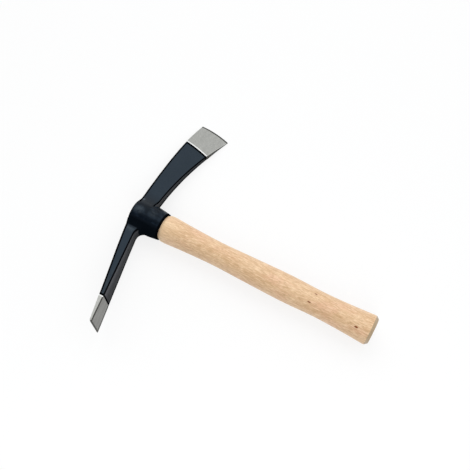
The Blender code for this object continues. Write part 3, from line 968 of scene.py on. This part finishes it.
class Shader(Nodes):
    """A material whose patterns lie on each point's place on the tool, in millimetres."""

    def __init__(self, name):
        self.material = bpy.data.materials.new(name)
        self.material.use_nodes = True
        super().__init__(self.material.node_tree)
        self.principled = self.tree.nodes["Principled BSDF"]
        self.place = self.add("ShaderNodeAttribute", attribute_name="tool_mm").outputs["Vector"]

    def set(self, **inputs):
        for key, value in inputs.items():
            self.feed(self.principled.inputs[key.replace("_", " ")], value)

    def axis(self, name):
        return self.add("ShaderNodeSeparateXYZ", {"Vector": self.place}).outputs[name]

    def scaled(self, vector, scale):
        inputs = {0: vector, 1: scale}
        return self.add("ShaderNodeVectorMath", inputs, operation="MULTIPLY").outputs[0]

    def shifted(self, vector, shift):
        return self.add("ShaderNodeVectorMath", {0: vector, 1: shift}, operation="ADD").outputs[0]

    def length(self, vector):
        return self.add("ShaderNodeVectorMath", {0: vector}, operation="LENGTH").outputs["Value"]

    def noise(self, frequency, detail=2.0, roughness=0.5, place=None):
        """Noise with one frequency per millimetre, or with one along each axis of the tool."""
        vector = place or self.place
        scale = frequency
        if isinstance(frequency, tuple):
            vector = self.scaled(vector, frequency)
            scale = 1.0
        inputs = {"Vector": vector, "Scale": scale, "Detail": detail, "Roughness": roughness}
        return self.add("ShaderNodeTexNoise", inputs).outputs["Fac"]

    def spot(self, place, size, core):
        """Mask of a soft spot: where it lies on the tool and its length, width and depth."""
        centred = self.shifted(self.place, tuple(-value for value in place))
        distance = self.length(self.scaled(centred, tuple(2.0 / value for value in size)))
        return self.ramp(distance, core, SPOT_END, 1.0, 0.0)

    def bump(self, height, depth, strength, normal=None):
        """Bump of this depth in metres, on top of an earlier one where there is one."""
        inputs = {"Height": height, "Distance": depth, "Strength": strength}
        if normal is not None:
            inputs["Normal"] = normal
        return self.add("ShaderNodeBump", inputs).outputs["Normal"]


def rgb(red, green, blue):
    return (red, green, blue, 1.0)


# Materials of the head

# Fine unevenness of the paint: frequency, detail and roughness of the noise
PAINT_GRAIN = (0.5, 3.0, 0.6)


def paint_material():
    """Satin slate-blue paint over forged steel, darkened to nearly black around the eye as painted
    shade.
    """
    shader = Shader("slate_paint")
    fine = shader.noise(*PAINT_GRAIN)
    across = shader.axis("Y")
    on_axe = shader.ramp(across, 15.0, 30.0)
    on_adze = shader.ramp(across, -18.0, -22.5)
    slate = shader.mix(
        shader.ramp(shader.noise(0.035, 3.0), 0.3, 0.7),
        rgb(0.0080, 0.0150, 0.0245),
        rgb(0.0115, 0.0195, 0.0310),
    )
    speckles = shader.ramp(fine, 0.40, 0.70, 0.0, 0.5)
    slate = shader.mix(speckles, slate, rgb(0.0165, 0.0235, 0.0330))
    # Painted shade: nearly black near the eye, slate out on the arms
    colour = shader.mix(shader.math("MAXIMUM", on_axe, on_adze), rgb(0.0014, 0.0034, 0.0075), slate)
    return forged_paint(shader, colour, shader.ramp(fine, 0.3, 0.7, 0.30, 0.42), 0.3)


def forged_paint(shader, colour, roughness, gloss):
    """Paint with painted highlights in lighter places, as a skin over hammered steel."""
    highlight_breakup = shader.ramp(shader.noise(0.30, 2.0, 0.6), 0.40, 0.58, 0.25, 1.0)
    # Painted highlights: each spot lightens the colour, broken up by noise
    for place, size, shade in PAINTED_HIGHLIGHT_SPOTS:
        spot_highlight = shader.math("MULTIPLY", shader.spot(place, size, 0.3), highlight_breakup)
        colour = shader.mix(spot_highlight, colour, rgb(0.66 * shade, 0.86 * shade, 1.08 * shade))
    hammered = shader.bump(shader.noise(0.20), 0.45 * MM, 0.6)
    shader.set(
        Base_Color=colour,
        Roughness=roughness,
        Normal=shader.bump(shader.noise(0.85, 2.0, 0.45), 0.03 * MM, 0.6, hammered),
        Specular_IOR_Level=gloss,
        Specular_Tint=rgb(0.76, 0.91, 1.0),
    )
    return shader.material


def eye_paint_material():
    """Duller paint on the drum and its collar, dark as painted shade, with lighter patches as
    painted highlights.
    """
    shader = Shader("eye_paint")
    fine = shader.noise(*PAINT_GRAIN)
    patches = shader.noise((0.10, 0.16, 0.16), 3.0, 0.6)
    # Painted shade near black, with painted highlights in patches at random places
    colour = shader.mix(
        shader.ramp(patches, 0.44, 0.60),
        rgb(0.0018, 0.0042, 0.0085),
        rgb(0.0085, 0.0145, 0.0240),
    )
    return forged_paint(shader, colour, shader.ramp(fine, 0.3, 0.7, 0.28, 0.40), 0.15)


def shaded_inner_paint_material():
    """Dull grey, shaded copy of the paint on the sides that face the handle, with a painted
    highlight lighter towards +Z.
    """
    shader = Shader("shaded_inner_paint")
    fine = shader.noise(*PAINT_GRAIN)
    streaks = shader.noise((0.5, 0.09, 0.5), 3.0, 0.6)
    colour = shader.mix(
        shader.ramp(streaks, 0.35, 0.65),
        rgb(0.012, 0.014, 0.017),
        rgb(0.026, 0.028, 0.032),
    )
    # Painted highlight: lighter towards +Z
    highlight_to_top = shader.ramp(shader.axis("Z"), 0.0, 13.0, 0.0, 0.8)
    shader.set(
        Base_Color=shader.mix(highlight_to_top, colour, rgb(0.085, 0.088, 0.100)),
        Roughness=shader.ramp(fine, 0.3, 0.7, 0.42, 0.54),
        Normal=shader.bump(fine, 0.05 * MM, 0.5),
        Specular_IOR_Level=0.03,
    )
    return shader.material


def shaded_flank_paint_material():
    """Matt black painted shade on the drum's flanks, a little lighter towards its middle."""
    shader = Shader("shaded_flank_paint")
    fine = shader.noise(*PAINT_GRAIN)
    colour = shader.mix(fine, rgb(0.0018, 0.0030, 0.0048), rgb(0.0040, 0.0060, 0.0090))
    near_middle = shader.ramp(shader.axis("Y"), -11.5, -7.5, 0.0, 0.8)
    colour = shader.mix(near_middle, colour, rgb(0.0085, 0.0120, 0.0180))
    shader.set(Base_Color=colour, Roughness=0.5, Specular_IOR_Level=0.0)
    return shader.material


def shade_line_paint_material():
    """Black line of painted shade along the ridges and at the paint's rim."""
    shader = Shader("shade_line_paint")
    shader.set(Base_Color=rgb(0.0020, 0.0026, 0.0034), Roughness=0.6, Specular_IOR_Level=0.0)
    return shader.material


def ground_steel_material(name, shade):
    """Bare steel with grinding lines along the arm."""
    shader = Shader(name)
    lines = shader.noise((5.0, 0.22, 5.0), 4.0, 0.65)
    broad = shader.noise((0.30, 0.05, 0.30))
    specks = shader.noise(0.8, 3.0, 0.7)
    # Shade above 1 gives a lit copy, painted light, and below 1 a shaded copy, painted shade
    dark, light, speck = (
        rgb(tone * shade, tone * shade, 0.94 * tone * shade)
        for tone in (0.33, 0.44, 0.54)
    )
    colour = shader.mix(shader.ramp(lines, 0.30, 0.70), dark, light)
    shader.set(
        Base_Color=shader.mix(shader.ramp(specks, 0.50, 0.66, 0.0, 0.5), colour, speck),
        Metallic=1.0,
        Roughness=shader.ramp(broad, 0.3, 0.7, 0.36, 0.48),
        Normal=shader.bump(lines, 0.04 * MM, 0.5),
    )
    return shader.material


def shaded_steel_material(name, tone):
    """Steel darkened as painted shade: on narrow sides, along ridges and at the cutting edges."""
    shader = Shader(name)
    colour = rgb(tone, tone, 0.90 * tone)
    shader.set(Base_Color=colour, Roughness=0.5, Specular_IOR_Level=0.1)
    return shader.material


def highlight_line_material():
    """Bare steel beside the paint, made bright as a painted highlight on the grinding step."""
    shader = Shader("highlight_line")
    shader.set(Base_Color=rgb(0.88, 0.88, 0.86), Metallic=1.0, Roughness=0.45)
    return shader.material


# Materials of the handle and the wedges

def wood_rings(shader, pith, spacing, waviness):
    """Growth rings of a tree whose heart runs along X, away from the handle's own axis."""
    wave = shader.math("MULTIPLY", shader.noise((0.012, 0.05, 0.05)), waviness)
    drift = shader.math("MULTIPLY", shader.noise((0.006, 0.0, 0.0), 1.0), 1.6 * waviness)
    from_pith = shader.shifted(shader.place, (0.0, -pith[0], -pith[1]))
    radius = shader.length(shader.scaled(from_pith, (0.0, 1.0, 1.0)))
    radius = shader.math("ADD", shader.math("ADD", radius, wave), drift)
    return shader.math("FRACT", shader.math("DIVIDE", radius, spacing))


def wood_flecks(shader, frequency, rarity, limits):
    """Short dark spindles along the grain, fewer where rarity is nearer to 1."""
    inputs = {"Vector": shader.scaled(shader.place, frequency), "Scale": 1.0}
    cells = shader.add("ShaderNodeTexVoronoi", inputs).outputs
    shade = shader.add("ShaderNodeSeparateColor", {"Color": cells["Color"]}).outputs[0]
    chosen = shader.math("GREATER_THAN", shade, rarity)
    spindle = shader.ramp(cells["Distance"], limits[0], limits[1], 1.0, 0.0)
    return shader.math("MULTIPLY", spindle, chosen)


def beech_figure(shader, fibres):
    """Blotches, growth rings, streaks, fibres, grain and small flecks of the beech."""
    blotches = shader.noise((0.022, 0.09, 0.09), 3.0)
    moved = shader.shifted(shader.place, (31.0, 0.0, 0.0))
    tint = shader.noise((0.030, 0.07, 0.07), place=moved)
    latewood = shader.ramp(wood_rings(shader, (-19.0, -52.0), 2.6, 5.0), 0.62, 0.98)
    streaks = shader.noise((0.045, 0.42, 0.42), 3.0, 0.6)
    grain = shader.noise((0.15, 0.85, 0.85), 2.0, 0.65)
    flecks = wood_flecks(shader, (0.20, 0.80, 0.80), 0.45, (0.12, 0.30))
    colour = shader.mix(
        shader.ramp(blotches, 0.32, 0.68),
        rgb(0.74, 0.49, 0.280),
        rgb(0.84, 0.60, 0.375),
    )
    for share, stain in (
        (shader.ramp(tint, 0.50, 0.68, 0.0, 0.7), rgb(0.82, 0.51, 0.335)),
        (shader.math("MULTIPLY", latewood, 0.42), rgb(0.64, 0.38, 0.19)),
        (shader.ramp(streaks, 0.50, 0.66, 0.0, 0.46), rgb(0.64, 0.38, 0.20)),
        (shader.ramp(fibres, 0.45, 0.75, 0.0, 0.42), rgb(0.62, 0.37, 0.20)),
        (shader.ramp(grain, 0.52, 0.62, 0.0, 0.47), rgb(0.55, 0.33, 0.17)),
        (shader.ramp(grain, 0.46, 0.34, 0.0, 0.52), rgb(1.0, 0.78, 0.54)),
        (shader.math("MULTIPLY", flecks, 0.55), rgb(0.42, 0.22, 0.10)),
    ):
        colour = shader.mix(share, colour, stain)
    return colour


def beech_material():
    """Steamed beech under a thin satin varnish, lighter by the collar as painted light and darker
    at the butt.
    """
    shader = Shader("beech")
    fibres = shader.noise((0.10, 2.6, 2.6), 4.0, 0.6)
    colour = beech_figure(shader, fibres)
    for place, size in WOOD_SPOTS:
        colour = shader.mix(shader.spot(place, size, 0.7), colour, rgb(0.215, 0.040, 0.0))
    along = shader.axis("X")
    collar_end = EYE_DEPTH / MM
    # Painted light: the handle is lighter just below the collar
    collar_light = shader.ramp(along, collar_end + COLLAR_LIGHT_LENGTH, collar_end, 0.0, 0.30)
    colour = shader.mix(collar_light, colour, rgb(1.0, 0.80, 0.52))
    end_start = (TOOL_LENGTH - BUTT_CHAMFER_LENGTH) / MM - 0.6
    at_end = shader.ramp(along, end_start, end_start + 0.8, 0.0, 0.75)
    shader.set(
        Base_Color=shader.mix(at_end, colour, rgb(0.32, 0.25, 0.155)),
        Roughness=shader.ramp(fibres, 0.3, 0.7, 0.42, 0.54),
        Normal=shader.bump(fibres, 0.03 * MM, 0.4),
        Coat_Weight=0.35,
        Coat_Roughness=0.35,
        Specular_IOR_Level=0.35,
    )
    return shader.material


def wedge_wood_material():
    """Sawn hardwood, darker than the handle."""
    shader = Shader("wedge_wood")
    fibres = shader.noise((0.35, 1.1, 3.4), 4.0, 0.6)
    colour = shader.mix(shader.ramp(fibres, 0.3, 0.7), rgb(0.42, 0.25, 0.12), rgb(0.60, 0.40, 0.22))
    shader.set(Base_Color=colour, Roughness=0.62, Normal=shader.bump(fibres, 0.08 * MM, 0.5))
    return shader.material


def wedge_steel_material():
    """Rolled steel strip, dull from the mill."""
    shader = Shader("wedge_steel")
    scale = shader.noise(0.9, 4.0, 0.6)
    bare = shader.ramp(scale, 0.35, 0.65)
    shader.set(
        Base_Color=shader.mix(bare, rgb(0.30, 0.30, 0.31), rgb(0.52, 0.52, 0.51)),
        Metallic=1.0,
        Roughness=shader.ramp(scale, 0.35, 0.65, 0.50, 0.34),
        Normal=shader.bump(scale, 0.04 * MM, 0.5),
    )
    return shader.material


# Floor, light and camera

def build_floor():
    """White floor that keeps the tool's shadow and is lifted towards white where it is seen."""
    builder = bmesh.new()
    bmesh.ops.create_grid(builder, x_segments=1, y_segments=1, size=FLOOR_HALF_WIDTH)
    floor = mesh_object("floor", builder)
    floor.location.z = -FLOOR_CLEARANCE
    material = bpy.data.materials.new("floor_white")
    material.use_nodes = True
    nodes = Nodes(material.node_tree)
    nodes.tree.nodes.remove(nodes.tree.nodes["Principled BSDF"])
    paper = nodes.add("ShaderNodeBsdfDiffuse", {"Color": rgb(0.95, 0.95, 0.95)})
    glow = nodes.add("ShaderNodeEmission")
    rays = nodes.add("ShaderNodeLightPath").outputs
    seen = nodes.math("MAXIMUM", rays["Is Camera Ray"], rays["Is Glossy Ray"])
    seen = nodes.math("MAXIMUM", seen, rays["Is Transmission Ray"])
    lift = nodes.math("MULTIPLY", seen, FLOOR_LIFT)
    surface = nodes.add("ShaderNodeMixShader", {0: lift, 1: paper.outputs[0], 2: glow.outputs[0]})
    nodes.feed(nodes.tree.nodes["Material Output"].inputs["Surface"], surface.outputs[0])
    floor.data.materials.append(material)


def area_lamp(name, place, size, power):
    """Square lamp aimed at the middle of the tool, which doesn't show in the steel."""
    light = bpy.data.lights.new(name, "AREA")
    light.size = size
    light.energy = power
    lamp = bpy.data.objects.new(name, light)
    bpy.context.scene.collection.objects.link(lamp)
    lamp.location = place
    lamp.rotation_euler = (-Vector(place)).to_track_quat("-Z", "Y").to_euler()
    lamp.visible_glossy = False


def build_light():
    """Two lamps, in surroundings that are bright overhead and on the axe's side."""
    area_lamp("key", *KEY_LAMP)
    area_lamp("fill", *FILL_LAMP)
    world = bpy.data.worlds.new("studio")
    bpy.context.scene.world = world
    world.use_nodes = True
    nodes = Nodes(world.node_tree)
    direction = nodes.add("ShaderNodeTexCoord").outputs["Generated"]
    parts = nodes.add("ShaderNodeSeparateXYZ", {0: direction}).outputs
    across = nodes.ramp(parts["Y"], *ACROSS_SPAN, DIM_SIDE, BRIGHT_SIDE)
    across.node.interpolation_type = "SMOOTHSTEP"
    upward = nodes.ramp(parts["Z"], *UPWARD_SPAN, HORIZON_SHARE, 1.0)
    seen = nodes.add("ShaderNodeLightPath").outputs["Is Camera Ray"]
    strength = nodes.math("MAXIMUM", nodes.math("MULTIPLY", across, upward), seen)
    background = nodes.tree.nodes["Background"]
    nodes.feed(background.inputs["Color"], rgb(0.97, 0.985, 1.0))
    nodes.feed(background.inputs["Strength"], strength)


def build_camera():
    azimuth = math.radians(CAMERA_AZIMUTH)
    elevation = math.radians(CAMERA_ELEVATION)
    back = Vector((
        math.sin(azimuth) * math.cos(elevation),
        -math.cos(azimuth) * math.cos(elevation),
        math.sin(elevation),
    ))
    right = Vector((math.cos(azimuth), math.sin(azimuth), 0.0))
    up = back.cross(right)
    turn = Matrix((right, up, back)).transposed().to_4x4()
    data = bpy.data.cameras.new("camera")
    data.lens = CAMERA_LENS
    data.sensor_width = SENSOR_WIDTH
    data.clip_start = NEAREST_SEEN
    camera = bpy.data.objects.new("camera", data)
    bpy.context.scene.collection.objects.link(camera)
    camera.matrix_world = TOOL @ Matrix.Translation(CAMERA_TARGET + back * CAMERA_DISTANCE) @ turn
    bpy.context.scene.camera = camera


build_camera()
build_light()
build_floor()
build_head()
build_handle()
build_wooden_wedge()
build_steel_wedges()
bpy.context.scene.view_settings.view_transform = "Standard"
